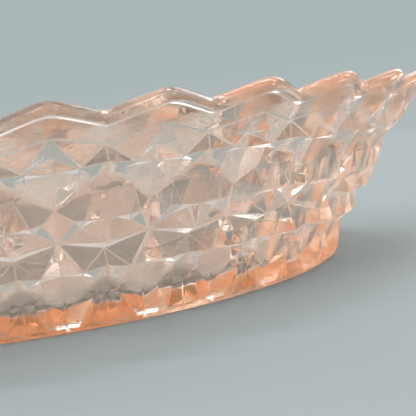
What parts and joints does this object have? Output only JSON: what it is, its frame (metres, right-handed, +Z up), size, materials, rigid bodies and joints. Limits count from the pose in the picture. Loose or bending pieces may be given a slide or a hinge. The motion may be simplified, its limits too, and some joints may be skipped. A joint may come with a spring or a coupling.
{
  "type": "pressed glass candy dish",
  "caption": "Low round candy dish of pink pressed glass, with a scalloped lip, a flared wall of pointed and starred facets, and a flat base.",
  "frame": {"origin": "centre of the base, on the surface that the dish stands on", "axes": "+Z up along the dish's axis; +X and +Y through scallop tips"},
  "size_m": [0.203, 0.203, 0.04],
  "materials": {
    "pink_glass": "clear, pressed"
  },
  "bodies": {
    "root": {"scalloped_lip": "pink_glass", "plain_band": "pink_glass", "upper_point_row": "pink_glass", "upper_star_row": "pink_glass", "lower_point_row": "pink_glass", "lower_star_row": "pink_glass", "foot_ring": "pink_glass", "base_plate": "pink_glass"}
  },
  "joints": []
}
